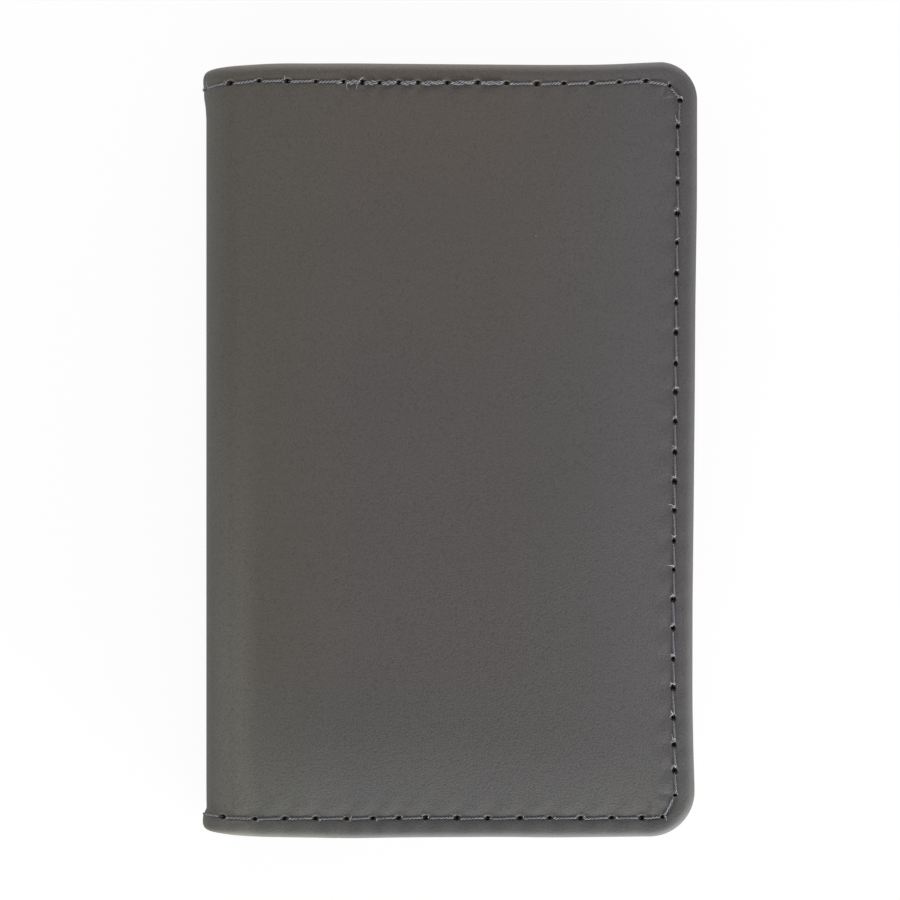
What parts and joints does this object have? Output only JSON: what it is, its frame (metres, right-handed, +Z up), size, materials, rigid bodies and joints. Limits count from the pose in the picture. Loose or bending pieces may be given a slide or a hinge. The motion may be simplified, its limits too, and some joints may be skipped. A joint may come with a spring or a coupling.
{
  "type": "folding card case",
  "caption": "Folding card case with two stiffened covers on a soft fold, turned and sewn edges, shielding film, and a sleeve and card slot inside each cover.",
  "frame": {"origin": "centre of the closed case's box, on the outer face of the back cover that it rests on", "axes": "+Z up through the closed covers, +Y along the fold towards the head, +X from the fold to the open edge"},
  "size_m": [0.065, 0.1026, 0.0091],
  "materials": {
    "skin": "matte soft-touch coated leather, warm dark grey, very fine grain",
    "pocket": "matte coated leather, a shade darker than the outside",
    "lining": "woven charcoal lining",
    "shield_film": "thin metal shielding film",
    "board": "pressed fibre board",
    "thread": "twisted light grey sewing thread"
  },
  "bodies": {
    "back_cover": {"back_skin": "skin", "back_shield_film": "shield_film", "back_stiffener_board": "board", "back_lining": "lining", "back_turn_in_head": "skin", "back_turn_in_edge": "skin", "back_turn_in_tail": "skin", "back_sleeve_panel": "pocket", "back_slot_hem_head": "pocket", "back_slot_hem_edge": "pocket", "back_slot_hem_tail": "pocket", "back_slot_panel": "pocket", "back_face_thread": "thread", "back_inside_thread": "thread"},
    "spine": {"spine_skin": "skin", "spine_shield_film": "shield_film", "spine_lining": "lining", "spine_turn_in_head": "skin", "spine_turn_in_tail": "skin", "spine_face_thread_head": "thread", "spine_face_thread_tail": "thread", "spine_inside_thread_head": "thread", "spine_inside_thread_tail": "thread"},
    "front_cover": {"front_skin": "skin", "front_shield_film": "shield_film", "front_stiffener_board": "board", "front_lining": "lining", "front_turn_in_head": "skin", "front_turn_in_edge": "skin", "front_turn_in_tail": "skin", "front_sleeve_panel": "pocket", "front_slot_hem_head": "pocket", "front_slot_hem_edge": "pocket", "front_slot_hem_tail": "pocket", "front_slot_panel": "pocket", "front_face_thread": "thread", "front_inside_thread": "thread"}
  },
  "joints": [
    {"name": "back_fold", "type": "hinge", "parent": "back_cover", "child": "spine", "pos_m": [-0.03121, 0, 0.00129], "axis": [0, -1, 0], "range_deg": [0, 90]},
    {"name": "front_fold", "type": "hinge", "parent": "spine", "child": "front_cover", "pos_m": [-0.03121, 0, 0.00781], "axis": [0, -1, 0], "range_deg": [0, 90]}
  ],
  "couplings": [
    {"joint": "front_fold", "follows": "back_fold", "ratio": 1}
  ]
}
